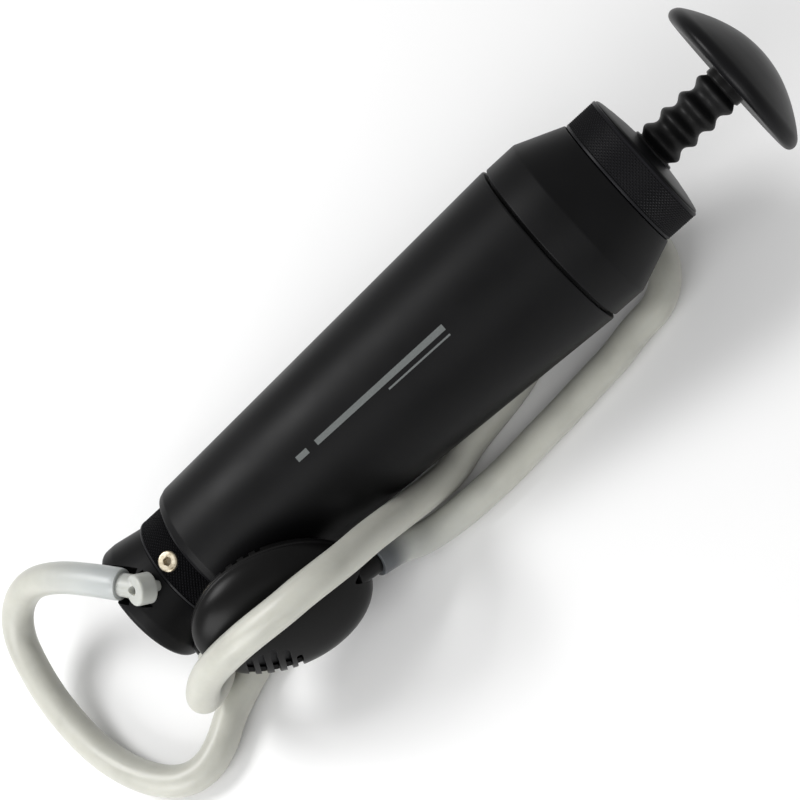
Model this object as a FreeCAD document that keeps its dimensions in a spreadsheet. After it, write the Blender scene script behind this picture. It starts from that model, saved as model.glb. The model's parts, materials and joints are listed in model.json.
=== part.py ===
import FreeCAD, Part
import os, math
import Sketcher

# Hand pump water filter, lying on its side on its hose.
# Millimetres.  +X runs towards the handle, +Z is up, the floor is z = 0.
# The pump's own axis rises from the foot towards the handle by "tilt_deg".
# Stations along that axis are measured from the flat bottom of the foot.

V = FreeCAD.Vector
doc = FreeCAD.newDocument("pump_filter")
sheet = doc.addObject("Spreadsheet::Sheet", "Dims")
values = {}
row = [1]


def cell(name, value):
    """One driving dimension: a plain number with an alias."""
    sheet.set("A%d" % row[0], name)
    sheet.set("B%d" % row[0], repr(float(value)))
    sheet.setAlias("B%d" % row[0], name)
    values[name] = float(value)
    row[0] += 1


shared = {
    "tilt_deg": 7.0,          # rise of the pump's axis
    "origin_shift": 127.58,    # foot centre to origin, along X
    "axis_height": 21.60,     # height of the foot centre above the floor
    "rod_rad": 4.0,
    "rod_bore": 4.05,         # running clearance round the rod
    "cyl_bore": 11.0,
    "piston_rad": 10.95,      # running clearance in the cylinder
    "cyl_wall_rad": 12.5,
    "foot_rad": 21.8,
    "ring_rad": 20.7,
    "body_low_rad": 24.05,
    "body_top_rad": 30.0,
    "cap_rad": 29.6,
    "nut_rad": 23.15,
    "nut_low": 201.5,
    "nut_top": 215.8,
    "bellows_low": 216.6,
    "bellows_top": 243.0,
    "knob_rad": 27.6,
    "hose_rad": 5.25,
    "shell_wall": 1.7,
    "shell_a": 29.0,
    "shell_b": 22.1,
    "shell_c": 12.5,
}
for k in shared:
    cell(k, shared[k])
doc.recompute()

TILT = math.radians(values["tilt_deg"])
AX = V(math.cos(TILT), 0, math.sin(TILT))       # pump axis
UP = V(-math.sin(TILT), 0, math.cos(TILT))      # square to it, upwards
FOOT = V(-values["origin_shift"], 0, values["axis_height"])


def at(s, y, n):
    """World point from axial station, sideways and upward offsets."""
    return FOOT + AX * s + V(0, y, 0) + UP * n


PUMP = FreeCAD.Placement(FOOT, FreeCAD.Rotation(V(0, 0, 1), AX))


def along(base, direction):
    return FreeCAD.Placement(base, FreeCAD.Rotation(V(0, 0, 1), direction))


parts = {}


def turned(name, pts, place=None, label=None, keep=True):
    """Body of revolution about its local Z.  pts are (radius, station)
    pairs; each number is a cell of its own, or the name of a shared one."""
    label = label or name
    body = doc.addObject("PartDesign::Body", name + "_body" if not keep else name)
    body.Label = label
    plane = [o for o in body.Origin.OriginFeatures if o.Role == "XZ_Plane"][0]
    sk = body.newObject("Sketcher::SketchObject", name + "_profile")
    sk.AttachmentSupport = [(plane, "")]
    sk.MapMode = "FlatFace"
    xy = []
    names = []
    for i, (r, s) in enumerate(pts):
        pair = []
        for tag, q in (("rad", r), ("sta", s)):
            if isinstance(q, str):
                pair.append((values[q], q))
            elif q == 0:
                pair.append((0.0, None))
            else:
                alias = "%s_%s_%s" % (name, tag, "abcdefghijklmnopqrstuvwxyz"[i // 26] + "abcdefghijklmnopqrstuvwxyz"[i % 26])
                cell(alias, q)
                pair.append((float(q), alias))
        xy.append((pair[0][0], pair[1][0]))
        names.append((pair[0][1], pair[1][1]))
    doc.recompute()
    n = len(xy)
    for i in range(n):
        a, b = xy[i], xy[(i + 1) % n]
        sk.addGeometry(Part.LineSegment(V(a[0], a[1], 0), V(b[0], b[1], 0)), False)
    cons = []
    for i in range(n):
        cons.append(Sketcher.Constraint("Coincident", i, 2, (i + 1) % n, 1))
    sk.addConstraint(cons)
    for i in range(n):
        for kind, k in (("DistanceX", 0), ("DistanceY", 1)):
            if names[i][k] is None:
                sk.addConstraint(Sketcher.Constraint("PointOnObject", i, 1, -2 if k == 0 else -1))
            else:
                c = sk.addConstraint(Sketcher.Constraint(kind, -1, 1, i, 1, xy[i][k]))
                sk.setExpression("Constraints[%d]" % c, "Dims." + names[i][k])
    rev = body.newObject("PartDesign::Revolution", name + "_turn")
    rev.Profile = sk
    rev.ReferenceAxis = (sk, ["V_Axis"])
    rev.Angle = 360.0
    body.Placement = place or PUMP
    doc.recompute()
    if keep:
        parts[name] = body
    return body


def prim(kind, name, place, **dims):
    """A primitive whose sizes are cells."""
    o = doc.addObject(kind, name)
    for prop in dims:
        q = dims[prop]
        if isinstance(q, str):
            o.setExpression(prop, "Dims." + q)
        else:
            alias = name + "_" + prop.lower() + "_dim"
            cell(alias, q)
            doc.recompute()
            o.setExpression(prop, "Dims." + alias)
    o.Placement = place
    return o


def boolean(kind, name, a, b, keep=False):
    o = doc.addObject(kind, name)
    o.Base = a
    o.Tool = b
    if keep:
        o.Label = name
        parts[name] = o
    return o


def fuse_all(name, items):
    o = doc.addObject("Part::MultiFuse", name)
    o.Shapes = items
    return o


# ---------------------------------------------------------------- pump body
# Foot: flared, with the inlet chamber bored into its top.
foot_blank = turned("foot_blank", [
    (0, 0), (19.3, 0), (20.9, 0.5), ("foot_rad", 2.0), (21.7, 5.0), (20.7, 10.0), (19.6, 16.8),
    (12.9, 16.8), (12.9, 24.0), (6.5, 24.0), (6.5, 5.0), (0, 5.0)], keep=False)

# Elbow: a short milky stub in a round recess of the foot, with a side branch.
STUB_DIR = V(-0.650, -0.045, 0.759).normalize()
STUB_AT = V(10.0 - values["origin_shift"], -8.8, 41.6)
BRANCH_FROM = STUB_AT + STUB_DIR * 2.6
BRANCH_DIR = V(-0.68, 0.73, 0.046).normalize()
HOSE_OUT = BRANCH_FROM + BRANCH_DIR * 8.5

recess = prim("Part::Cylinder", "elbow_recess", along(STUB_AT + STUB_DIR * 0.5, STUB_DIR), Radius=6.3, Height=20.0)
spigot_hole = prim("Part::Cylinder", "spigot_hole", along(STUB_AT - STUB_DIR * 2.5, STUB_DIR), Radius=2.05, Height=6.0)
neck_trough = prim("Part::Cylinder", "neck_trough", along(BRANCH_FROM - BRANCH_DIR * 1.0, BRANCH_DIR), Radius=4.3, Height=9.0)
trough = prim("Part::Cylinder", "hose_trough", along(BRANCH_FROM + BRANCH_DIR * 5.0, BRANCH_DIR), Radius=6.1, Height=28.0)
NIP_DIR = V(0, -0.966, 0) + UP * (-0.259)
NIP_DIR.normalize()
nip_hole = prim("Part::Cylinder", "inlet_hole", along(at(9.0, 0, 0) + NIP_DIR * 4.0, NIP_DIR), Radius=3.0, Height=24.0)
foot_cuts = fuse_all("foot_cuts", [recess, spigot_hole, neck_trough, trough, nip_hole])
foot = boolean("Part::Cut", "base_foot", foot_blank, foot_cuts, keep=True)

# Knurled ring with a radial hole for its lock screw.
ring_blank = turned("ring_blank", [
    (17.05, 17.0), (19.8, 17.0), ("ring_rad", 17.9), ("ring_rad", 27.4), (20.1, 28.0), (17.05, 28.0)], keep=False)
SCREW_ANG = math.radians(18.2)
SCREW_DIR = (V(0, -math.sin(SCREW_ANG), 0) + UP * math.cos(SCREW_ANG)).normalize()
screw_hole = prim("Part::Cylinder", "screw_hole", along(at(21.7, 0, 0) + SCREW_DIR * 15.0, SCREW_DIR), Radius=3.45, Height=10.0)
boolean("Part::Cut", "base_ring", ring_blank, screw_hole, keep=True)
screw_blank = turned("screw_blank", [
    (0, 17.3), (3.4, 17.3), (3.4, 20.9), (3.15, 21.15), (1.5, 21.15), (1.5, 18.9), (0, 18.9)],
    place=along(at(21.7, 0, 0), SCREW_DIR), keep=False)
hexa = prim("Part::Prism", "screw_socket", along(at(21.7, 0, 0) + SCREW_DIR * 18.8, SCREW_DIR), Circumradius=1.75, Height=3.0)
boolean("Part::Cut", "lock_screw", screw_blank, hexa, keep=True)

# Long tapered housing with a bottom spigot.
turned("housing", [
    (17.0, 28.3), (22.4, 28.3), (23.5, 28.8), ("body_low_rad", 30.4), ("body_top_rad", 173.0), (29.6, 173.8),
    (27.5, 173.8), (27.5, 163.0), (21.8, 34.0), (21.8, 32.0), (13.0, 32.0), (13.0, 19.2), (17.0, 19.2)])

turned("base_o_ring", [
    (10.3, 24.8), (11.0, 24.1), (12.0, 24.1), (12.7, 24.8), (12.7, 26.1), (12.0, 26.8), (11.0, 26.8), (10.3, 26.1)])
turned("inlet_valve_seat", [(3.5, 26.9), (12.8, 26.9), (12.8, 30.0), (6.4, 30.0), (3.5, 30.0)])
turned("inlet_valve", [(0, 26.5), (2.4, 26.5), (2.4, 30.05), (6.0, 30.05), (6.0, 31.4), (2.0, 31.9), (0, 31.9)])
turned("pump_cylinder", [
    ("cyl_bore", 34.0), (20.5, 34.0), (20.5, 36.0), ("cyl_wall_rad", 36.0), ("cyl_wall_rad", 195.6), ("cyl_bore", 195.6)])
turned("element_bottom_seal", [(13.6, 36.05), (20.9, 36.05), (20.9, 38.0), (13.6, 38.0)])
turned("ceramic_element", [(14.2, 38.05), (21.2, 38.05), (21.2, 158.0), (14.2, 158.0)])
turned("element_top_seal", [(13.6, 158.05), (21.4, 158.05), (21.4, 160.0), (13.6, 160.0)])
turned("element_retainer", [(12.7, 160.05), (22.5, 160.05), (22.5, 162.6), (12.7, 162.6)])

# Cap: short band, conical shoulder and a spigot into the housing.
turned("cap", [
    (27.4, 174.8), (29.3, 174.8), (29.5, 175.1), ("cap_rad", 185.2), (29.0, 187.2), (23.7, 201.0), (23.4, 201.3),
    (6.6, 201.3), (6.6, 196.0), (19.5, 196.0), (25.4, 184.0), (25.4, 165.5),
    (27.4, 165.5), (27.4, 169.0), (25.9, 169.0), (25.9, 171.0), (27.4, 171.0)])
turned("cap_o_ring", [
    (25.95, 169.5), (26.4, 169.05), (27.0, 169.05), (27.4, 169.5), (27.4, 170.5), (27.0, 170.95), (26.4, 170.95), (25.95, 170.5)])
turned("top_nut", [
    (7.7, "nut_low"), (22.8, "nut_low"), ("nut_rad", 201.9), ("nut_rad", 212.4), (22.8, 213.2), (21.8, 213.8), (17.0, 214.7),
    (12.0, 215.4), (7.7, "nut_top")])
turned("rod_guide_bush", [
    ("rod_bore", 196.1), (6.5, 196.1), (6.5, 201.45), (7.6, 201.45), (7.6, 208.0), ("rod_bore", 208.0)])
turned("rod_seal", [("rod_bore", 192.0), (10.8, 192.0), (10.8, 195.9), ("rod_bore", 195.9)])
turned("bellows_ring", [(4.6, 208.1), (7.6, 208.1), (7.6, "bellows_low"), (4.6, "bellows_low")])

# Ringed rubber sleeve: four ridges.
ridge = [219.4, 226.4, 233.4, 240.4]
prof = [(5.0, "bellows_low"), (6.3, "bellows_low")]
for c in ridge:
    prof += [(6.0, c - 2.4), (7.2, c - 1.4), (7.55, c), (7.2, c + 1.4), (6.0, c + 2.4)]
prof = prof + [(6.3, "bellows_top"), (5.0, "bellows_top")]
turned("rod_bellows", prof)

# ------------------------------------------------------------ moving rod
turned("handle_collar", [("rod_rad", 243.0), (6.9, 243.0), (6.9, 245.7), (7.5, 246.8), ("rod_rad", 246.8)])
turned("handle_knob", [
    ("rod_rad", 246.8), (8.0, 246.8), (14.0, 246.3), (20.0, 245.6), (24.4, 245.1), (26.0, 245.3), (27.1, 246.0),
    ("knob_rad", 247.1), (27.4, 248.4), (26.6, 249.6), (25.1, 250.8), (23.0, 252.2), (20.2, 253.8), (16.8, 255.5), (12.8, 257.1),
    (8.6, 258.35), (4.2, 259.1), (0, 259.35), (0, 254.0), ("rod_rad", 254.0)])
turned("piston_rod", [(0, 124.0), ("rod_rad", 124.0), ("rod_rad", 254.0), (0, 254.0)])
turned("piston_head", [
    (3.0, 112.0), ("piston_rad", 112.0), ("piston_rad", 117.9), (9.2, 117.9), (9.2, 121.1), ("piston_rad", 121.1),
    ("piston_rad", 128.0), ("rod_rad", 128.0), ("rod_rad", 124.0), (3.0, 124.0)])
turned("piston_o_ring", [
    (9.25, 118.7), (9.9, 118.0), (10.4, 118.0), ("piston_rad", 118.7), ("piston_rad", 120.3), (10.4, 121.0), (9.9, 121.0), (9.25, 120.3)])
turned("piston_retainer", [(4.0, 107.0), (9.0, 107.0), (9.0, 111.95), (6.7, 111.95), (6.7, 108.4), (4.0, 108.4)])
turned("transfer_valve", [(0, 110.2), (6.3, 110.2), (6.3, 111.9), (2.6, 111.9), (2.6, 118.0), (0, 118.0)])

# --------------------------------------------------------------- elbow, inlet
stub = prim("Part::Cylinder", "elbow_stub", along(STUB_AT + STUB_DIR * 0.6, STUB_DIR), Radius=5.0, Height=6.0)
spigot = prim("Part::Cylinder", "elbow_spigot", along(STUB_AT - STUB_DIR * 2.4, STUB_DIR), Radius=2.0, Height=4.0)
branch = prim("Part::Cylinder", "elbow_branch", along(BRANCH_FROM, BRANCH_DIR), Radius=3.8, Height=(HOSE_OUT - BRANCH_FROM).Length)
elbow_outer = fuse_all("elbow_outer", [stub, spigot, branch])
gate = prim("Part::Cylinder", "elbow_hole", along(STUB_AT + STUB_DIR * 5.0, STUB_DIR), Radius=1.5, Height=4.0)
boolean("Part::Cut", "elbow_connector", elbow_outer, gate, keep=True)

NIP_BASE = at(9.0, 0, 0)
NIP_END = 25.3
turned("inlet_nipple", [(1.8, 12.0), (2.95, 12.0), (2.95, 21.7), (4.6, 21.75), (4.6, NIP_END), (1.8, NIP_END)],
       place=along(NIP_BASE, NIP_DIR))
HOSE_IN = NIP_BASE + NIP_DIR * (NIP_END + 0.02)

# ------------------------------------------------------------------- strainer
# Pebble-shaped strainer in two half shells, leaning against the housing.
PRE_C = V(40.69 - values["origin_shift"], -37.77, 31.9)
PRE_ROT = FreeCAD.Rotation(V(0, 0, 1), math.degrees(-0.12)) * FreeCAD.Rotation(V(0, 1, 0), math.degrees(0.37)) * \
    FreeCAD.Rotation(V(1, 0, 0), math.degrees(1.17))


def pre(a, b, c):
    return PRE_C + PRE_ROT.multVec(V(a, b, c))


def pre_place(a, b, c):
    return FreeCAD.Placement(pre(a, b, c), PRE_ROT)


cell("shell_a_in", values["shell_a"] - values["shell_wall"])
cell("shell_b_in", values["shell_b"] - values["shell_wall"])
cell("shell_c_in", values["shell_c"] - values["shell_wall"])
cell("screen_a", values["shell_a"] - values["shell_wall"] - 0.3)
cell("screen_b", values["shell_b"] - values["shell_wall"] - 0.3)
cell("screen_c", values["shell_c"] - values["shell_wall"] - 0.3)
doc.recompute()


def egg(name, a, b, c):
    # Radius1 is along local Z, Radius2 along X, Radius3 along Y
    o = doc.addObject("Part::Ellipsoid", name)
    o.setExpression("Radius1", "Dims." + c)
    o.setExpression("Radius2", "Dims." + a)
    o.setExpression("Radius3", "Dims." + b)
    o.Placement = pre_place(0, 0, 0)
    return o


HOSE_C = V(70.7 - values["origin_shift"], -39.5, 22.6)
BARB_DIR = V(-0.80, -0.27, 0.53).normalize()
for side, sgn in (("front", 1), ("back", -1)):
    outer = egg("shell_outer_" + side, "shell_a", "shell_b", "shell_c")
    half = prim("Part::Box", "half_box_" + side, pre_place(-40, -40, 0.02 if sgn > 0 else -40.02), Length=80.0, Width=80.0, Height=40.0)
    blank = boolean("Part::Common", "shell_half_" + side, outer, half)
    tools = [egg("shell_inner_" + side, "shell_a_in", "shell_b_in", "shell_c_in")]
    tools.append(prim("Part::Cylinder", "barb_hole_" + side, along(HOSE_C + BARB_DIR * 0.5, BARB_DIR), Radius=3.95, Height=14.0))
    # slots from the rim inwards: five low on the front, four high on the back
    if sgn > 0:
        for i, (across, reach) in enumerate([(-15.6, 17.5), (-12.0, 18.5), (-8.1, 19.5), (-4.1, 17.0), (-0.6, 12.5)]):
            tools.append(prim("Part::Box", "slot_low_%s" % "abcde"[i], pre_place(across - 1.0, -24.0, 1.4), Length=2.0, Width=reach, Height=14.0))
    else:
        for i, across in enumerate([-13.4, -9.5, -5.6, -1.7]):
            tools.append(prim("Part::Box", "slot_top_%s" % "abcde"[i], pre_place(across - 1.0, 13.0, -8.4), Length=2.0, Width=11.0, Height=7.0))
    boolean("Part::Cut", "prefilter_shell_" + side, blank, fuse_all("shell_tools_" + side, tools), keep=True)

scr_egg = egg("screen_egg", "screen_a", "screen_b", "screen_c")
scr_box = prim("Part::Box", "screen_box", pre_place(-22.0, -40, -0.4), Length=40.0, Width=80.0, Height=0.8)
boolean("Part::Common", "prefilter_screen", scr_egg, scr_box, keep=True)
turned("prefilter_barb", [(2.0, 0.02), (3.9, 0.02), (3.9, 9.0), (2.0, 9.0)],
       place=along(HOSE_C, BARB_DIR))


# ---------------------------------------------------------------------- hoses
def route_wire(pts):
    """Straight runs joined by tangent arcs, radius 0.45 of the shorter run
    over the tangent of half the turn."""
    edges = []
    start = pts[0]
    radii = []
    for i in range(1, len(pts) - 1):
        a, p, b = pts[i - 1], pts[i], pts[i + 1]
        u = (a - p).normalize()
        w = (b - p).normalize()
        half = (math.pi - u.getAngle(w)) / 2.0
        cut = 0.45 * min((a - p).Length, (b - p).Length)
        rad = cut / math.tan(half)
        radii.append(round(rad, 1))
        t1, t2 = p + u * cut, p + w * cut
        mid_dir = (u + w).normalize()
        centre = p + mid_dir * (rad / math.cos(half))
        mid = centre - mid_dir * rad
        edges.append(Part.LineSegment(start, t1).toShape())
        edges.append(Part.Arc(t1, mid, t2).toShape())
        start = t2
    edges.append(Part.LineSegment(start, pts[-1]).toShape())
    return Part.Wire(edges), radii


def hose(name, pts):
    wire, radii = route_wire(pts)
    d = (pts[1] - pts[0]).normalize()
    circle = Part.Wire([Part.makeCircle(values["hose_rad"], pts[0], d)])
    shape = wire.makePipeShell([circle], True, False)
    if shape.ShapeType != "Solid":
        shape = Part.Solid(shape) if shape.ShapeType == "Shell" else shape
    o = doc.addObject("Part::Feature", name)
    o.Label = name
    o.Shape = shape
    parts[name] = o
    want = math.pi * values["hose_rad"] ** 2 * wire.Length
    print(name, "length %.1f" % wire.Length, "volume ratio %.4f" % (shape.Volume / want), "radii", radii)


S = values["origin_shift"]
INTAKE = [HOSE_IN, HOSE_IN + NIP_DIR * 6.0] + [V(x - S, y, z) for x, y, z in [
    (5.4, -36.4, 17.00),
    (2.6, -40.8, 22.00),
    (3.9, -44.6, 30.00),
    (10.4, -45.4, 39.00),
    (20.9, -48.6, 47.50),
    (33.0, -51.1, 53.00),
    (44.8, -52.0, 54.50),
    (53.7, -51.1, 54.00),
    (61.9, -49.6, 51.50),
    (68.8, -46.5, 46.50),
    (75.4, -41.6, 39.50),
    (81.7, -36.2, 30.50),
    (88.5, -30.3, 20.60),
    (96.6, -25.0, 11.80),
    (105.4, -21.0, 6.60),
    (113.6, -16.2, 5.40),
    (123.0, -13.4, 5.30),
    (132.6, -10.8, 5.30),
    (142.0, -7.2, 5.30),
    (150.2, -2.2, 5.30),
    (157.8, 5.6, 5.30),
    (166.0, 15.5, 5.30),
    (179.0, 21.0, 5.30),
    (192.0, 17.0, 5.30),
    (200.0, 4.0, 5.30),
    (197.5, -10.0, 5.30),
    (188.3, -18.8, 5.30),
    (178.2, -20.1, 5.35),
    (167.3, -23.9, 5.35),
    (156.0, -25.8, 5.35),
    (143.5, -28.4, 5.35),
    (132.0, -30.2, 5.35),
    (120.7, -32.5, 5.35),
    (109.9, -33.6, 5.30),
    (100.1, -34.4, 5.30),
    (91.1, -34.7, 6.20),
    (83.3, -35.9, 10.00),
]] + [HOSE_C - BARB_DIR * 9.0, HOSE_C]
OUTLET = [HOSE_OUT, HOSE_OUT + BRANCH_DIR * 9.5] + [V(x - S, y, z) for x, y, z in [
    (-15.9, 16.6, 42.00),
    (-26.9, 25.1, 36.50),
    (-37.2, 26.9, 29.00),
    (-44.1, 22.1, 22.00),
    (-46.8, 13.2, 16.00),
    (-47.5, 0.5, 11.00),
    (-45.1, -15.0, 7.50),
    (-40.6, -28.5, 5.70),
    (-32.9, -41.4, 5.40),
    (-23.3, -50.4, 5.35),
    (-13.6, -52.3, 5.35),
    (-4.7, -47.8, 5.35),
    (1.7, -41.5, 5.35),
    (10.4, -36.4, 5.35),
    (22.2, -30.2, 5.35),
    (36.0, -28.0, 5.35),
    (49.0, -29.0, 5.35),
]]
hose("intake_hose", INTAKE)
hose("outlet_hose", OUTLET)

# --------------------------------------------------------------------- export
doc.recompute()
bad = [o.Name for o in doc.Objects if "Invalid" in o.State or "Error" in o.State]
if bad:
    raise SystemExit("objects failed: " + ", ".join(bad))
os.makedirs("parts", exist_ok=True)
for name in parts:
    shp = parts[name].Shape
    if shp.isNull() or not shp.isValid() or shp.Volume < 1e-3 or len(shp.Solids) < 1:
        raise SystemExit("bad shape: " + name)
for name in parts:
    parts[name].Shape.exportStep("parts/%s.step" % name)
print(len(parts), "parts written")
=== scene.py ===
import json
import math

import bmesh
import bpy
from mathutils import Matrix, Quaternion, Vector


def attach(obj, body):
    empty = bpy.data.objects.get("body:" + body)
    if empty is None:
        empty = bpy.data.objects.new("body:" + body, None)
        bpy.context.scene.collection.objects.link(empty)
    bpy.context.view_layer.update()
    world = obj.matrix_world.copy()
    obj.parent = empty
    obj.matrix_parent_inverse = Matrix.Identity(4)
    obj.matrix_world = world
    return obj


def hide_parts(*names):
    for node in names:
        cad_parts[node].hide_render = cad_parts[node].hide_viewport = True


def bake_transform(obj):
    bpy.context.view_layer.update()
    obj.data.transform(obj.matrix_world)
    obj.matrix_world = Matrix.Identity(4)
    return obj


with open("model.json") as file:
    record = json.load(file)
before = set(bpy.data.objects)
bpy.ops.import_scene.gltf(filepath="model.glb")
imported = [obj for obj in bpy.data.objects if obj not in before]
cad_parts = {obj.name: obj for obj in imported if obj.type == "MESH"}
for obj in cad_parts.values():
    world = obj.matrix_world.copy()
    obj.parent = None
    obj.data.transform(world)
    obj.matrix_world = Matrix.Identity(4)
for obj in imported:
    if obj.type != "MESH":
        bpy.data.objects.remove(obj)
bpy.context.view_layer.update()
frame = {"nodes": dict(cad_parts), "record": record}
scene = bpy.context.scene
MM = 0.001
S = 127.58                     # foot centre to origin, mm

# The pump's axis, and the square direction upwards.
TILT = math.radians(7.0)
AX = Vector((math.cos(TILT), 0, math.sin(TILT)))
UP = Vector((-math.sin(TILT), 0, math.cos(TILT)))
SIDE = Vector((0, -1, 0))
FOOT = Vector((-S, 0, 21.60)) * MM


def P(s, r, ang):
    """Point at station s, radius r (mm), ang from up towards -Y."""
    return FOOT + AX * (s * MM) + (UP * math.cos(ang) + SIDE * math.sin(ang)) * (r * MM)


# ------------------------------------------------------------------ materials
def new_mat(name):
    m = bpy.data.materials.new(name)
    m.use_nodes = True
    nt = m.node_tree
    b = nt.nodes["Principled BSDF"]
    return m, nt, b


def coord(nt):
    n = nt.nodes.new("ShaderNodeTexCoord")
    return n.outputs["Object"]


def noise(nt, vec, scale, detail=4.0, rough=0.55):
    n = nt.nodes.new("ShaderNodeTexNoise")
    n.inputs["Scale"].default_value = scale
    n.inputs["Detail"].default_value = detail
    n.inputs["Roughness"].default_value = rough
    nt.links.new(vec, n.inputs["Vector"])
    return n.outputs["Fac"]


def ramp(nt, fac, stops):
    n = nt.nodes.new("ShaderNodeValToRGB")
    e = n.color_ramp.elements
    e[0].position, e[0].color = stops[0][0], (*stops[0][1], 1)
    e[1].position, e[1].color = stops[-1][0], (*stops[-1][1], 1)
    for pos, col in stops[1:-1]:
        x = e.new(pos)
        x.color = (*col, 1)
    nt.links.new(fac, n.inputs["Fac"])
    return n.outputs["Color"]


def mrange(nt, fac, a, b, lo, hi):
    n = nt.nodes.new("ShaderNodeMapRange")
    n.inputs["From Min"].default_value = a
    n.inputs["From Max"].default_value = b
    n.inputs["To Min"].default_value = lo
    n.inputs["To Max"].default_value = hi
    nt.links.new(fac, n.inputs["Value"])
    return n.outputs["Result"]


def bump(nt, b, height, strength, dist):
    n = nt.nodes.new("ShaderNodeBump")
    n.inputs["Strength"].default_value = strength
    n.inputs["Distance"].default_value = dist
    nt.links.new(height, n.inputs["Height"])
    nt.links.new(n.outputs["Normal"], b.inputs["Normal"])


def dark_finish(name, col, rough, grain, grain_strength, metallic=0.0, spec=0.5, wear=0.35):
    """Near-black surface: fine grain, slow colour and gloss changes, and a
    little paler wear on convex edges."""
    m, nt, b = new_mat(name)
    vec = coord(nt)
    slow = noise(nt, vec, 55.0, 3.0)
    fine = noise(nt, vec, grain, 2.0, 0.6)
    c0 = ramp(nt, slow, [(0.3, tuple(x * 0.82 for x in col)), (0.7, tuple(x * 1.16 for x in col))])
    geo = nt.nodes.new("ShaderNodeNewGeometry")
    edge = mrange(nt, geo.outputs["Pointiness"], 0.505, 0.56, 0.0, wear)
    mix = nt.nodes.new("ShaderNodeMix")
    mix.data_type = "RGBA"
    nt.links.new(edge, mix.inputs["Factor"])
    nt.links.new(c0, mix.inputs["A"])
    mix.inputs["B"].default_value = (col[0] * 3.2, col[1] * 3.2, col[2] * 3.3, 1)
    nt.links.new(mix.outputs["Result"], b.inputs["Base Color"])
    r = mrange(nt, slow, 0.3, 0.7, rough - 0.035, rough + 0.045)
    nt.links.new(r, b.inputs["Roughness"])
    b.inputs["Metallic"].default_value = metallic
    b.inputs["Specular IOR Level"].default_value = spec
    bump(nt, b, fine, grain_strength, 0.00004)
    return m


M_BODY = dark_finish("anodised_satin", (0.0042, 0.0042, 0.0045), 0.42, 2600.0, 0.35, spec=0.11)
M_KNURL = dark_finish("knurled_black", (0.0040, 0.0040, 0.0046), 0.38, 3000.0, 0.25, spec=0.12, wear=0.8)
M_PLASTIC = dark_finish("black_plastic_smooth", (0.0042, 0.0041, 0.0041), 0.32, 1500.0, 0.16, spec=0.13)
M_KNOB = dark_finish("knob_black", (0.0042, 0.0042, 0.0048), 0.36, 2200.0, 0.30, spec=0.15)
M_RUBBER = dark_finish("black_rubber_sleeve", (0.0040, 0.0040, 0.0042), 0.46, 1700.0, 0.35, spec=0.20, wear=0.2)


def milky(name, tint, cool, sss, dark_ends):
    """Cloudy translucent hose.  The mesh carries two point attributes: cool,
    how blue it is, and under, how much of the dark fitting shows through."""
    m, nt, b = new_mat(name)
    vec = coord(nt)
    cloud = noise(nt, vec, 90.0, 5.0, 0.6)
    fine = noise(nt, vec, 900.0, 2.0, 0.5)
    base = ramp(nt, cloud, [(0.28, tuple(x * 0.90 for x in tint)), (0.55, tint), (0.75, tuple(min(1, x * 1.05) for x in tint))])
    last = base
    if dark_ends:
        for attr, col in (("cool", cool), ("under", (0.055, 0.060, 0.068))):
            a = nt.nodes.new("ShaderNodeAttribute")
            a.attribute_name = attr
            mix = nt.nodes.new("ShaderNodeMix")
            mix.data_type = "RGBA"
            nt.links.new(a.outputs["Fac"], mix.inputs["Factor"])
            nt.links.new(last, mix.inputs["A"])
            mix.inputs["B"].default_value = (*col, 1)
            last = mix.outputs["Result"]
    nt.links.new(last, b.inputs["Base Color"])
    b.inputs["Subsurface Weight"].default_value = sss
    b.inputs["Subsurface Radius"].default_value = (1.0, 0.95, 0.82)
    b.inputs["Subsurface Scale"].default_value = 0.0035
    r = mrange(nt, cloud, 0.3, 0.7, 0.30, 0.42)
    nt.links.new(r, b.inputs["Roughness"])
    b.inputs["Specular IOR Level"].default_value = 0.45
    bump(nt, b, fine, 0.18, 0.00006)
    return m


M_HOSE = milky("milky_hose_wall", (0.475, 0.475, 0.428), (0.42, 0.445, 0.45), 0.5, True)
M_MILKY = milky("milky_elbow", (0.43, 0.44, 0.415), (0.6, 0.65, 0.68), 0.5, False)


def brass():
    m, nt, b = new_mat("pale_brass_worn")
    vec = coord(nt)
    n = noise(nt, vec, 700.0, 4.0)
    c = ramp(nt, n, [(0.3, (0.30, 0.25, 0.17)), (0.55, (0.52, 0.46, 0.35)), (0.75, (0.66, 0.62, 0.52))])
    nt.links.new(c, b.inputs["Base Color"])
    b.inputs["Metallic"].default_value = 0.9
    nt.links.new(mrange(nt, n, 0.3, 0.7, 0.28, 0.48), b.inputs["Roughness"])
    bump(nt, b, n, 0.25, 0.00005)
    return m


M_BRASS = brass()


def plain(name, col, rough, metallic=0.0, scale=300.0, spread=0.1, strength=0.15):
    m, nt, b = new_mat(name)
    vec = coord(nt)
    n = noise(nt, vec, scale, 4.0)
    c = ramp(nt, n, [(0.3, tuple(x * (1 - spread) for x in col)), (0.7, tuple(min(1, x * (1 + spread)) for x in col))])
    nt.links.new(c, b.inputs["Base Color"])
    b.inputs["Metallic"].default_value = metallic
    nt.links.new(mrange(nt, n, 0.3, 0.7, rough - 0.05, rough + 0.05), b.inputs["Roughness"])
    bump(nt, b, n, strength, 0.00005)
    return m


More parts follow.
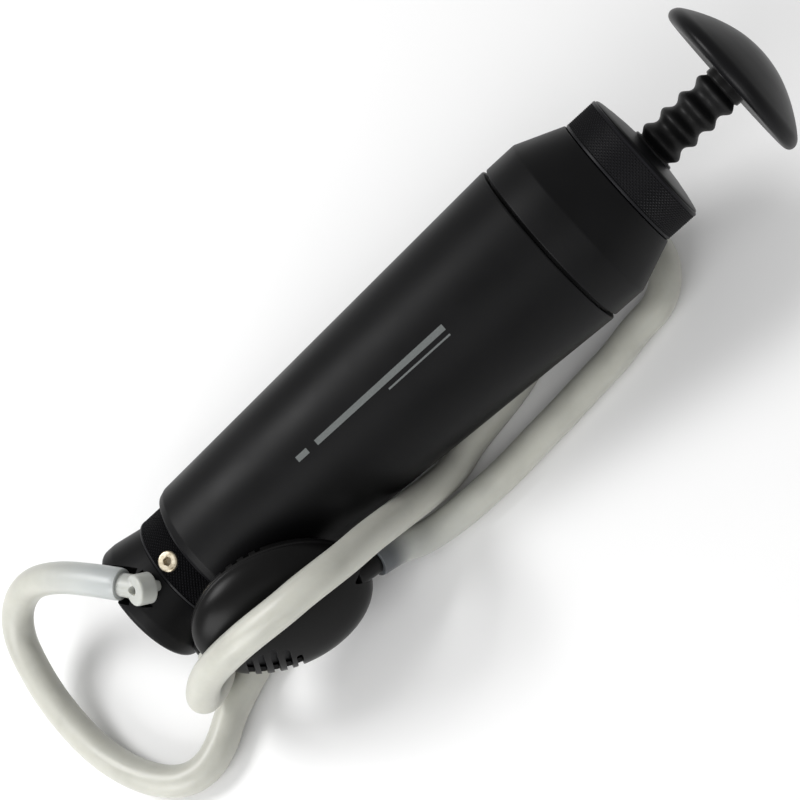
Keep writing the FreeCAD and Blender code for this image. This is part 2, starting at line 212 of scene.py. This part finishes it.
M_STEEL = plain("ground_steel", (0.55, 0.55, 0.56), 0.28, 1.0, 900.0)
M_ALU = plain("bored_aluminium", (0.62, 0.62, 0.63), 0.35, 1.0, 600.0)
M_CERAMIC = plain("porous_ceramic", (0.80, 0.76, 0.68), 0.85, 0.0, 1400.0, 0.06, 0.5)
M_WHITE = plain("white_moulded", (0.74, 0.74, 0.72), 0.42, 0.0, 500.0, 0.04)
M_SCREEN = plain("woven_screen", (0.045, 0.045, 0.047), 0.5, 0.3, 1800.0, 0.3, 0.6)
M_PRINT = plain("pale_print", (0.095, 0.104, 0.102), 0.55, 0.0, 1500.0, 0.10, 0.1)

SLOT_MAT = {"black_metal": M_BODY, "knurled_metal": M_KNURL, "black_plastic": M_PLASTIC, "knob_plastic": M_KNOB,
            "black_rubber": M_RUBBER, "brass_screw": M_BRASS, "milky_hose": M_HOSE, "milky_plastic": M_MILKY,
            "steel_rod": M_STEEL, "cylinder_metal": M_ALU, "ceramic": M_CERAMIC, "white_plastic": M_WHITE,
            "screen_mesh": M_SCREEN}
node_slot = {e["node"]: e["material_slot"] for e in frame["record"]["subparts"]}
for name, obj in frame["nodes"].items():
    mat = SLOT_MAT[node_slot[name]]
    if not obj.material_slots:
        obj.data.materials.append(mat)
    for ms in obj.material_slots:
        ms.material = mat


# ------------------------------------------------------------------- builders
def add(name, verts, faces, mat, sharp=35.0):
    me = bpy.data.meshes.new(name)
    me.from_pydata([tuple(v) for v in verts], [], faces)
    me.validate()
    o = bpy.data.objects.new(name, me)
    scene.collection.objects.link(o)
    finish_mesh(o, mat, sharp)
    return o


def finish_mesh(o, mat, sharp=35.0):
    me = o.data
    bm = bmesh.new()
    bm.from_mesh(me)
    bmesh.ops.recalc_face_normals(bm, faces=bm.faces)
    bm.to_mesh(me)
    bm.free()
    me.materials.clear()
    me.materials.append(mat)
    for p in me.polygons:
        p.use_smooth = True
    me.set_sharp_from_angle(angle=math.radians(sharp))
    me.update()


def lathe(name, prof, mat, seg=192, frame_of=None, sharp=35.0, close=True):
    """Closed profile of (r, s) in mm, turned about the pump's axis, or about
    frame_of = (base, direction, square direction)."""
    base, zd, xd = frame_of or (FOOT, AX, UP)
    yd = zd.cross(xd)
    verts, faces, index = [], [], []
    for r, s in prof:
        if r <= 1e-6:
            index.append([len(verts)] * seg)
            verts.append(base + zd * (s * MM))
        else:
            ring = []
            for k in range(seg):
                a = 2 * math.pi * k / seg
                ring.append(len(verts))
                verts.append(base + zd * (s * MM) + (xd * math.cos(a) + yd * math.sin(a)) * (r * MM))
            index.append(ring)
    n = len(prof)
    for i in range(n if close else n - 1):
        a, b = index[i], index[(i + 1) % n]
        if a[0] == a[1] and b[0] == b[1]:
            continue
        for k in range(seg):
            k2 = (k + 1) % seg
            f = [a[k], a[k2], b[k2], b[k]]
            f = [x for j, x in enumerate(f) if x not in f[:j]]
            if len(f) >= 3:
                faces.append(f)
    return add(name, verts, faces, mat, sharp)


def rounded(pts, rads, n=5):
    """Closed polyline with its corners rounded; rads gives each radius."""
    out = []
    m = len(pts)
    for i in range(m):
        p = Vector(pts[i])
        a = Vector(pts[i - 1]) - p
        b = Vector(pts[(i + 1) % m]) - p
        r = rads[i]
        if r <= 0 or a.length < 1e-6 or b.length < 1e-6:
            out.append(tuple(p))
            continue
        u, w = a.normalized(), b.normalized()
        half = u.angle(w) / 2
        cut = min(r / math.tan(half), 0.48 * a.length, 0.48 * b.length)
        t1, t2 = p + u * cut, p + w * cut
        for k in range(n + 1):
            t = k / n
            q = t1 * (1 - t) ** 2 + p * 2 * t * (1 - t) + t2 * t * t
            out.append(tuple(q))
    return out


def tool_cylinder(base, direction, r, h, seg=64):
    d = direction.normalized()
    x = d.orthogonal().normalized()
    o = lathe("tool", [(0, 0), (r, 0), (r, h), (0, h)], M_BODY, seg, (base, d, x))
    return o


def cut(o, tools, op="DIFFERENCE"):
    for t in tools:
        m = o.modifiers.new("b", "BOOLEAN")
        m.operation = op
        m.solver = "EXACT"
        m.object = t
        apply_all(o)
        bpy.data.objects.remove(t)


def apply_all(o):
    bpy.context.view_layer.update()
    dg = bpy.context.evaluated_depsgraph_get()
    me = bpy.data.meshes.new_from_object(o.evaluated_get(dg), preserve_all_data_layers=True, depsgraph=dg)
    old = o.data
    o.modifiers.clear()
    o.data = me
    bpy.data.meshes.remove(old)


def place(o, body, slot, *nodes):
    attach(o, body)
    if nodes:
        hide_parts(*nodes)
    return o


# -------------------------------------------------------------------- housing
prof = rounded([(17.0, 28.3), (23.2, 28.3), (24.10, 31.0), (30.0, 173.8), (27.5, 173.8), (27.5, 163.0), (21.8, 34.0), (21.8, 32.0), (13.0, 32.0), (13.0, 19.2), (17.0, 19.2)],
               [0, 0.9, 2.2, 0.7, 0, 0, 0, 0, 0, 0, 0], 6)
place(lathe("housing_shell", prof, M_BODY, 256, sharp=40), "root", "black_metal", "housing")

# Cap: band, a soft step, and a conical shoulder.
prof = rounded([(27.4, 174.8), (29.6, 174.8), (29.6, 186.0), (23.4, 201.3), (6.6, 201.3), (6.6, 196.0), (19.5, 196.0), (25.4, 184.0), (25.4, 165.5),
                (27.4, 165.5), (27.4, 169.0), (25.9, 169.0), (25.9, 171.0), (27.4, 171.0)],
               [0, 0.5, 2.4, 0.5] + [0] * 10, 6)
place(lathe("cap_shell", prof, M_BODY, 256, sharp=40), "root", "black_metal", "cap")


# ------------------------------------------------------------ knurled pieces
def knurled(name, r_in, r_out, s0, s1, around, rows, depth, rim, mat, body, slot, node, holes=(), crown=()):
    """Diamond knurl cut into a band between two smooth rims."""
    per = 4
    seg = around * per
    face0, face1 = s0 + rim, s1 - rim
    nrow = rows * per
    verts, faces, rings = [], [], []

    def ring(r_of, s):
        idx = []
        for k in range(seg):
            a = 2 * math.pi * k / seg
            idx.append(len(verts))
            verts.append(P(s, r_of(k), a))
        rings.append(idx)

    flat = lambda r: (lambda k: r)
    ring(flat(r_in), s0)
    ring(flat(r_out - 0.55), s0)
    ring(flat(r_out - 0.16), s0 + 0.16)
    ring(flat(r_out - 0.02), s0 + 0.50)
    for j in range(nrow + 1):
        v = j / per

        def kr(k, v=v, j=j):
            u = k / per
            t1 = abs(((u + v) % 1.0) * 2 - 1)
            t2 = abs(((u - v) % 1.0) * 2 - 1)
            h = min(t1, t2) if 0 < j < nrow else 1.0
            h = min(h / 0.78, 1.0)
            return r_out - depth + depth * h
        ring(kr, face0 + (face1 - face0) * j / nrow)
    ring(flat(r_out - 0.02), s1 - 0.50)
    ring(flat(r_out - 0.16), s1 - 0.16)
    ring(flat(r_out - 0.55), s1)
    for r, s in crown:
        ring(flat(r), s)
    ring(flat(r_in), crown[-1][1] if crown else s1)
    n = len(rings)
    for i in range(n):
        a, b = rings[i], rings[(i + 1) % n]
        for k in range(seg):
            k2 = (k + 1) % seg
            faces.append((a[k], a[k2], b[k2], b[k]))
    o = add(name, verts, faces, mat, 22)
    if holes:
        cut(o, holes)
        finish_mesh(o, mat, 22)
    return place(o, body, slot, node)


SCREW_ANG = math.radians(18.2)
SCREW_DIR = (SIDE * math.sin(SCREW_ANG) + UP * math.cos(SCREW_ANG)).normalized()
SCREW_BASE = FOOT + AX * (21.7 * MM)
knurled("base_ring_knurl", 17.05, 20.7, 17.0, 28.0, 92, 8, 0.42, 0.85, M_KNURL, "root", "knurled_metal", "base_ring",
        [tool_cylinder(SCREW_BASE + SCREW_DIR * (15 * MM), SCREW_DIR, 3.45, 10)])
knurled("top_nut_knurl", 7.7, 23.15, 201.5, 213.0, 102, 8, 0.42, 0.9, M_KNURL, "root", "knurled_metal", "top_nut", (),
        [(22.4, 213.4), (21.8, 213.75), (20.6, 214.05), (17.0, 214.7), (12.0, 215.4), (8.6, 215.7), (8.0, 215.8)])

# Lock screw: rounded rim, hexagon socket.
d = SCREW_DIR
x = AX.copy()
screw = lathe("lock_screw_head", rounded([(0, 17.3), (3.4, 17.3), (3.4, 21.15), (0, 21.15)], [0, 0, 0.7, 0], 6), M_BRASS, 64, (SCREW_BASE, d, x), 40)
hexa = lathe("tool", [(0, 18.9), (1.6, 18.9), (1.6, 22.5), (0, 22.5)], M_BRASS, 6, (SCREW_BASE, d, x))
cut(screw, [hexa])
finish_mesh(screw, M_BRASS, 30)
place(screw, "root", "brass_screw", "lock_screw")

# ----------------------------------------------------------------------- foot
STUB_DIR = Vector((-0.650, -0.045, 0.759)).normalized()
STUB_AT = Vector((10.0 - S, -8.8, 41.6)) * MM
BRANCH_FROM = STUB_AT + STUB_DIR * (2.6 * MM)
BRANCH_DIR = Vector((-0.68, 0.73, 0.046)).normalized()
HOSE_OUT = BRANCH_FROM + BRANCH_DIR * (8.5 * MM)
NIP_DIR = (Vector((0, -0.966, 0)) + UP * (-0.259)).normalized()

prof = rounded([(0, 0), (21.75, 0), (21.7, 5.5), (19.6, 16.8), (12.9, 16.8), (12.9, 24.0), (6.5, 24.0), (6.5, 5.0), (0, 5.0)],
               [0, 2.4, 6.0, 0.4, 0, 0, 0, 0, 0], 8)
foot = lathe("base_foot_shell", prof, M_BODY, 256, sharp=40)
cut(foot, [tool_cylinder(STUB_AT + STUB_DIR * (0.5 * MM), STUB_DIR, 6.3, 20.0, 96),
           tool_cylinder(STUB_AT - STUB_DIR * (2.5 * MM), STUB_DIR, 2.05, 6.0, 48),
           tool_cylinder(BRANCH_FROM - BRANCH_DIR * (1 * MM), BRANCH_DIR, 4.3, 9.0, 96),
           tool_cylinder(BRANCH_FROM + BRANCH_DIR * (5 * MM), BRANCH_DIR, 6.1, 28.0, 96),
           tool_cylinder(FOOT + AX * (9 * MM) + NIP_DIR * (4 * MM), NIP_DIR, 3.0, 24.0, 64)])
finish_mesh(foot, M_BODY, 32)
place(foot, "root", "black_metal", "base_foot")

# Elbow: two tubes run into one with a soft fillet, and a small hole in the end.
stub = lathe("elbow_body", rounded([(0, -2.4), (2.0, -2.4), (2.0, 0.6), (5.0, 0.6), (5.0, 6.6), (0, 6.6)], [0, 0, 0, 0.3, 1.1, 0], 6), M_MILKY, 96,
             (STUB_AT, STUB_DIR, STUB_DIR.orthogonal().normalized()))
branch = tool_cylinder(BRANCH_FROM, BRANCH_DIR, 3.8, (HOSE_OUT - BRANCH_FROM).length / MM, 96)
cut(stub, [branch], "UNION")
rm = stub.modifiers.new("r", "REMESH")
rm.mode = "VOXEL"
rm.voxel_size = 0.0002
sm = stub.modifiers.new("s", "SMOOTH")
sm.factor = 0.5
sm.iterations = 5
apply_all(stub)
cut(stub, [tool_cylinder(STUB_AT + STUB_DIR * (3.4 * MM), STUB_DIR, 1.5, 6.0, 48)])
finish_mesh(stub, M_MILKY, 50)
place(stub, "root", "milky_plastic", "elbow_connector")

# ---------------------------------------------------------------- rod, sleeve
ridge = [219.4, 226.4, 233.4, 240.4]
outer = [(6.3, 216.6)]
steps = 96
for i in range(1, steps):
    s = 216.6 + (243.0 - 216.6) * i / steps
    ph = (s - 219.4) / 7.0
    w = 0.5 + 0.5 * math.cos(2 * math.pi * ph)
    w = w ** 1.15
    r = 5.75 + 1.78 * w
    if s > 241.8:
        r = max(r, 6.0)
    outer.append((r, s))
outer.append((6.4, 243.0))
inner = [(4.9 if 218 < q[1] < 241.5 else 4.75, q[1]) for q in reversed(outer)]
bell = lathe("rod_bellows_sleeve", outer + inner, M_RUBBER, 96, sharp=50)
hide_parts("rod_bellows")
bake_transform(bell)

prof = rounded([(4.02, 243.0), (6.9, 243.0), (6.95, 245.4), (7.5, 246.6), (7.5, 246.8), (4.02, 246.8)], [0, 0.5, 0.8, 0.2, 0.05, 0], 4)
place(lathe("handle_collar_ring", prof, M_PLASTIC, 96), "rod", "black_plastic", "handle_collar")
prof = rounded([(4.6, 208.1), (7.6, 208.1), (7.6, 216.6), (4.6, 216.6)], [0, 0, 0.7, 0], 4)
place(lathe("bellows_ring_turned", prof, M_PLASTIC, 96), "root", "black_plastic", "bellows_ring")


def catmull(pts, per=6):
    out = []
    n = len(pts)
    for i in range(n - 1):
        p0, p1, p2, p3 = (Vector(pts[max(0, i - 1)]), Vector(pts[i]), Vector(pts[i + 1]), Vector(pts[min(n - 1, i + 2)]))
        for k in range(per):
            t = k / per
            q = 0.5 * ((2 * p1) + (p2 - p0) * t + (2 * p0 - 5 * p1 + 4 * p2 - p3) * t * t + (3 * p1 - p0 - 3 * p2 + p3) * t ** 3)
            out.append((max(0.0, q.x), q.y))
    out.append(tuple(pts[-1]))
    return out


under = catmull([(4.02, 246.8), (8.0, 246.78), (14.0, 246.3), (20.0, 245.65), (24.2, 245.12), (26.0, 245.3), (27.1, 246.0), (27.58, 247.15),
                 (27.35, 248.4), (26.55, 249.6), (25.1, 250.75), (23.0, 252.15), (20.2, 253.75), (16.8, 255.45), (12.8, 257.05), (8.6, 258.3), (4.2, 259.05), (0, 259.33)])
prof = under + [(0, 254.02), (4.02, 254.02)]
place(lathe("handle_knob_turned", prof, M_KNOB, 192, sharp=45), "rod", "knob_plastic", "handle_knob")

# -------------------------------------------------------------------- strainer
PRE_C = Vector((40.69 - S, -37.77, 31.9)) * MM
PRE_M = (Matrix.Rotation(-0.12, 3, "Z") @ Matrix.Rotation(0.37, 3, "Y") @ Matrix.Rotation(1.17, 3, "X"))
HOSE_C = Vector((70.7 - S, -39.5, 22.6)) * MM
BARB_DIR = Vector((-0.80, -0.27, 0.53)).normalized()


def pre(a, b, c):
    return PRE_C + PRE_M @ (Vector((a, b, c)) * MM)


def shell(name, sgn, a, b, c, wall, mat):
    """Half an ellipsoid with a wall: outside grid, rim, inside grid."""
    nu, nv = 160, 44
    verts, faces = [], []
    grids = []
    for da in (0.0, wall):
        rows = []
        for j in range(nv + 1):
            th = (math.pi / 2) * j / nv
            # the outer rim turns in slightly, which draws the seam
            lift = 0.16 if da == 0.0 else 0.02
            row = []
            for i in range(nu):
                ph = 2 * math.pi * i / nu
                rr = math.cos(th)
                q = ((a - da) * rr * math.cos(ph), (b - da) * rr * math.sin(ph), sgn * max((c - da) * math.sin(th), 0.0))
                if j == 0:
                    f = 1 - (0.009 if da == 0.0 else 0.0)
                    q = (q[0] * f, q[1] * f, sgn * 0.03)
                elif j == 1 and da == 0.0:
                    q = (q[0] * 1.0, q[1] * 1.0, sgn * max(abs(q[2]), 0.25))
                row.append(len(verts))
                verts.append(pre(*q))
            rows.append(row)
        grids.append(rows)
    for g in grids:
        for j in range(nv):
            for i in range(nu):
                i2 = (i + 1) % nu
                faces.append((g[j][i], g[j][i2], g[j + 1][i2], g[j + 1][i]))
    for i in range(nu):
        i2 = (i + 1) % nu
        faces.append((grids[0][0][i], grids[0][0][i2], grids[1][0][i2], grids[1][0][i]))
    me = bpy.data.meshes.new(name)
    me.from_pydata([tuple(v) for v in verts], [], faces)
    bm = bmesh.new()
    bm.from_mesh(me)
    bmesh.ops.remove_doubles(bm, verts=bm.verts, dist=1e-7)
    bm.to_mesh(me)
    bm.free()
    o = bpy.data.objects.new(name, me)
    scene.collection.objects.link(o)
    finish_mesh(o, mat, 40)
    return o


def slot_tool(cx, y0, y1, z0, z1, w):
    """Rounded slot box in the strainer's own axes."""
    ring = []
    n = 6
    for end, yy in ((1, y1), (-1, y0)):
        for k in range(n + 1):
            t = math.pi * k / n
            ring.append((cx + w / 2 * math.cos(t) * end, yy + end * (w / 2) * math.sin(t) - end * w / 2))
    verts = [pre(x, y, z0) for x, y in ring] + [pre(x, y, z1) for x, y in ring]
    m = len(ring)
    faces = [tuple(range(m)), tuple(range(2 * m - 1, m - 1, -1))]
    for i in range(m):
        j = (i + 1) % m
        faces.append((i, j, m + j, m + i))
    return add("tool", verts, faces, M_PLASTIC)


front = shell("strainer_front", 1, 29.0, 22.1, 12.5, 1.7, M_PLASTIC)
tools = [slot_tool(c, -24.0, -24.0 + reach, 1.4, 15.4, 2.0)
         for c, reach in ((-15.6, 17.5), (-12.0, 18.5), (-8.1, 19.5), (-4.1, 17.0), (-0.6, 12.5))]
tools.append(tool_cylinder(HOSE_C + BARB_DIR * (0.5 * MM), BARB_DIR, 3.95, 14, 48))
cut(front, tools)
finish_mesh(front, M_PLASTIC, 34)
back = shell("strainer_back", -1, 29.0, 22.1, 12.5, 1.7, M_PLASTIC)
cut(back, [slot_tool(c, 13.0, 24.0, -8.4, -1.4, 2.0) for c in (-13.4, -9.5, -5.6, -1.7)] +
    [tool_cylinder(HOSE_C + BARB_DIR * (0.5 * MM), BARB_DIR, 3.95, 14, 48)])
finish_mesh(back, M_PLASTIC, 34)
place(front, "root", "black_plastic", "prefilter_shell_front")
place(back, "root", "black_plastic", "prefilter_shell_back")

prof = rounded([(2.0, 0.02), (3.9, 0.02), (3.9, 9.0), (2.0, 9.0)], [0, 0.2, 0.2, 0], 3)
barb = lathe("strainer_barb", prof, M_PLASTIC, 64, (HOSE_C, BARB_DIR, BARB_DIR.orthogonal().normalized()))
place(barb, "root", "black_plastic", "prefilter_barb")

# ----------------------------------------------------------------------- hoses
HOSE_IN = FOOT + AX * (9 * MM) + NIP_DIR * (25.32 * MM)
INTAKE = [tuple(HOSE_IN), tuple(HOSE_IN + NIP_DIR * (6.0 * MM))] + [((x - S) * MM, y * MM, z * MM) for x, y, z in [
    (5.4, -36.4, 17.00),
    (2.6, -40.8, 22.00),
    (3.9, -44.6, 30.00),
    (10.4, -45.4, 39.00),
    (20.9, -48.6, 47.50),
    (33.0, -51.1, 53.00),
    (44.8, -52.0, 54.50),
    (53.7, -51.1, 54.00),
    (61.9, -49.6, 51.50),
    (68.8, -46.5, 46.50),
    (75.4, -41.6, 39.50),
    (81.7, -36.2, 30.50),
    (88.5, -30.3, 20.60),
    (96.6, -25.0, 11.80),
    (105.4, -21.0, 6.60),
    (113.6, -16.2, 5.40),
    (123.0, -13.4, 5.30),
    (132.6, -10.8, 5.30),
    (142.0, -7.2, 5.30),
    (150.2, -2.2, 5.30),
    (157.8, 5.6, 5.30),
    (166.0, 15.5, 5.30),
    (179.0, 21.0, 5.30),
    (192.0, 17.0, 5.30),
    (200.0, 4.0, 5.30),
    (197.5, -10.0, 5.30),
    (188.3, -18.8, 5.30),
    (178.2, -20.1, 5.35),
    (167.3, -23.9, 5.35),
    (156.0, -25.8, 5.35),
    (143.5, -28.4, 5.35),
    (132.0, -30.2, 5.35),
    (120.7, -32.5, 5.35),
    (109.9, -33.6, 5.30),
    (100.1, -34.4, 5.30),
    (91.1, -34.7, 6.20),
    (83.3, -35.9, 10.00),
]] + [tuple(HOSE_C - BARB_DIR * (9.0 * MM)), tuple(HOSE_C)]
OUTLET = [tuple(HOSE_OUT), tuple(HOSE_OUT + BRANCH_DIR * (9.5 * MM))] + [((x - S) * MM, y * MM, z * MM) for x, y, z in [
    (-15.9, 16.6, 42.00),
    (-26.9, 25.1, 36.50),
    (-37.2, 26.9, 29.00),
    (-44.1, 22.1, 22.00),
    (-46.8, 13.2, 16.00),
    (-47.5, 0.5, 11.00),
    (-45.1, -15.0, 7.50),
    (-40.6, -28.5, 5.70),
    (-32.9, -41.4, 5.40),
    (-23.3, -50.4, 5.35),
    (-13.6, -52.3, 5.35),
    (-4.7, -47.8, 5.35),
    (1.7, -41.5, 5.35),
    (10.4, -36.4, 5.35),
    (22.2, -30.2, 5.35),
    (36.0, -28.0, 5.35),
    (49.0, -29.0, 5.35),
]]


def centre_line(pts):
    """The line of a NURBS spline with these control points."""
    cu = bpy.data.curves.new("route", "CURVE")
    cu.dimensions = "3D"
    sp = cu.splines.new("NURBS")
    sp.points.add(len(pts) - 1)
    for p, q in zip(sp.points, pts):
        p.co = (*q, 1)
    sp.order_u = 3
    sp.use_endpoint_u = True
    sp.resolution_u = 16
    o = bpy.data.objects.new("route", cu)
    scene.collection.objects.link(o)
    bpy.context.view_layer.update()
    dg = bpy.context.evaluated_depsgraph_get()
    me = bpy.data.meshes.new_from_object(o.evaluated_get(dg))
    line = [v.co.copy() for v in me.vertices]
    bpy.data.objects.remove(o)
    bpy.data.meshes.remove(me)
    return line


def hose(name, pts, mat, r_out, r_in, cool, under, node):
    """Hollow hose along the line.  cool and under are functions of the
    distance in mm from the start and from the end."""
    line = centre_line(pts)
    seg = 40
    dist = [0.0]
    for a, b in zip(line, line[1:]):
        dist.append(dist[-1] + (b - a).length)
    total = dist[-1]
    n = len(line)
    tang = [(line[min(n - 1, i + 1)] - line[max(0, i - 1)]).normalized() for i in range(n)]
    side = tang[0].orthogonal().normalized()
    verts, rings_o, rings_i, val = [], [], [], []
    for i in range(n):
        if i:
            side = tang[i - 1].rotation_difference(tang[i]) @ side
            side = (side - tang[i] * side.dot(tang[i])).normalized()
        up = tang[i].cross(side)
        for r, store in ((r_out, rings_o), (r_in, rings_i)):
            ring = []
            for k in range(seg):
                a = 2 * math.pi * k / seg
                ring.append(len(verts))
                rr = r
                if store is rings_o and (i == 0 or i == n - 1):
                    rr = r - 0.00022
                verts.append(line[i] + (side * math.cos(a) + up * math.sin(a)) * rr)
                val.append((cool(dist[i] / MM, (total - dist[i]) / MM), under(dist[i] / MM, (total - dist[i]) / MM)))
            store.append(ring)
    faces = []
    for rings in (rings_o, rings_i):
        for i in range(n - 1):
            for k in range(seg):
                k2 = (k + 1) % seg
                faces.append((rings[i][k], rings[i][k2], rings[i + 1][k2], rings[i + 1][k]))
    for e in (0, n - 1):
        for k in range(seg):
            k2 = (k + 1) % seg
            faces.append((rings_o[e][k], rings_o[e][k2], rings_i[e][k2], rings_i[e][k]))
    o = add(name, verts, faces, mat, 50)
    for j, attr in enumerate(("cool", "under")):
        at = o.data.attributes.new(attr, "FLOAT", "POINT")
        at.data.foreach_set("value", [v[j] for v in val])
    place(o, "root", "milky_hose", node)
    return o, line, total


def fade(x, a, b):
    t = min(1.0, max(0.0, (x - a) / (b - a)))
    return 1 - t * t * (3 - 2 * t)


hose_in, line_in, len_in = hose("intake_hose_tube", INTAKE, M_HOSE, 5.25 * MM, 3.3 * MM,
                                lambda a, b: 0.35 * fade(b, 8, 60),
                                lambda a, b: 0.78 * fade(b, 3, 13) + 0.18 * fade(b, 10, 30), "intake_hose")
hose_out, line_out, len_out = hose("outlet_hose_tube", OUTLET, M_HOSE, 5.25 * MM, 3.3 * MM,
                                   lambda a, b: 0.85 * fade(a, 2, 40), lambda a, b: 0.10 * fade(a, 0, 14), "outlet_hose")

# ------------------------------------------------- plain printed bars on the side
def printed(name, s0, s1, a0, a1, lift=0.035):
    """Thin patch of paint that follows the tapered wall."""
    ns, na = max(2, int((s1 - s0) / 1.5)), max(2, int(abs(a1 - a0) / 0.03))
    verts, faces = [], []
    for layer in (lift, -0.02):
        for i in range(ns + 1):
            s = s0 + (s1 - s0) * i / ns
            r = 24.10 + (30.0 - 24.10) * (s - 31.0) / (173.8 - 31.0) + layer
            for j in range(na + 1):
                verts.append(P(s, r, a0 + (a1 - a0) * j / na))
    w = na + 1
    off = (ns + 1) * w
    for i in range(ns):
        for j in range(na):
            q = i * w + j
            faces.append((q, q + 1, q + w + 1, q + w))
            faces.append((off + q, off + q + w, off + q + w + 1, off + q + 1))
    for i in range(ns):
        for j in (0, na):
            q = i * w + j
            faces.append((q, q + w, off + q + w, off + q))
    for j in range(na):
        for i in (0, ns):
            q = i * w + j
            faces.append((q, q + 1, off + q + 1, off + q))
    o = add(name, verts, faces, M_PRINT, 30)
    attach(o, "root")
    return o


printed("print_bar_long", 84.0, 137.0, math.radians(27.4), math.radians(31.6))
printed("print_bar_dot", 76.0, 80.5, math.radians(27.4), math.radians(31.6))
printed("print_bar_short", 112.0, 137.0, math.radians(34.8), math.radians(36.0))

# ------------------------------------------------------------ floor and lights
bm = bmesh.new()
n = 40
for i in range(n + 1):
    for j in range(n + 1):
        bm.verts.new((-3 + 6 * i / n, -3 + 6 * j / n, 0))
bm.verts.ensure_lookup_table()
for i in range(n):
    for j in range(n):
        q = i * (n + 1) + j
        bm.faces.new([bm.verts[k] for k in (q, q + n + 1, q + n + 2, q + 1)])
me = bpy.data.meshes.new("floor")
bm.to_mesh(me)
bm.free()
floor = bpy.data.objects.new("floor", me)
floor.location = (0, 0, -0.0002)
scene.collection.objects.link(floor)
mf, ntf, bf = new_mat("pale_floor")
nf = noise(ntf, coord(ntf), 6.0, 2.0)
cf = ramp(ntf, nf, [(0.3, (0.87, 0.87, 0.87)), (0.7, (0.89, 0.89, 0.89))])
ntf.links.new(cf, bf.inputs["Base Color"])
bf.inputs["Roughness"].default_value = 0.75
bf.inputs["Specular IOR Level"].default_value = 0.2
me.materials.append(mf)

world = bpy.data.worlds.new("studio")
world.use_nodes = True
world.node_tree.nodes["Background"].inputs[0].default_value = (1, 1, 1, 1)
world.node_tree.nodes["Background"].inputs[1].default_value = 0.46
scene.world = world


def area(name, loc, target, size, power, colour=(1, 1, 1)):
    li = bpy.data.lights.new(name, "AREA")
    li.shape = "RECTANGLE"
    li.size, li.size_y = size
    li.energy = power
    li.color = colour
    o = bpy.data.objects.new(name, li)
    o.location = loc
    o.rotation_euler = (Vector(target) - Vector(loc)).to_track_quat("-Z", "Y").to_euler()
    scene.collection.objects.link(o)


area("key_soft", (-0.55, 0.45, 0.95), (-0.02, 0, 0.02), (0.50, 0.42), 8.0)
area("fill_front", (-0.10, -1.0, 0.80), (0, 0, 0.02), (1.0, 0.8), 2.0)
area("left_low", (-1.05, -0.65, 0.60), (-0.03, -0.02, 0.02), (0.9, 0.7), 11.0)

# --------------------------------------------------------------------- camera
cam = bpy.data.cameras.new("photo_camera")
cam.sensor_width = 36.0
cam.sensor_fit = "HORIZONTAL"
cam.lens = 90.0
cam.clip_start = 0.01
cam.clip_end = 20.0
co = bpy.data.objects.new("photo_camera", cam)
Rv = Vector((0.78504, -0.46683, -0.40717))
Uv = Vector((0.61167, 0.68802, 0.39049))
Wv = Vector((-0.09785, 0.55561, -0.82567))
mw = Matrix.Identity(4)
for i in range(3):
    mw[i][0], mw[i][1], mw[i][2] = Rv[i], Uv[i], -Wv[i]
mw[0][3], mw[1][3], mw[2][3] = (167.46 - S) * MM, -351.34 * MM, 547.74 * MM
co.matrix_world = mw
scene.collection.objects.link(co)
scene.camera = co
scene.view_settings.view_transform = "Standard"
scene.view_settings.look = "None"
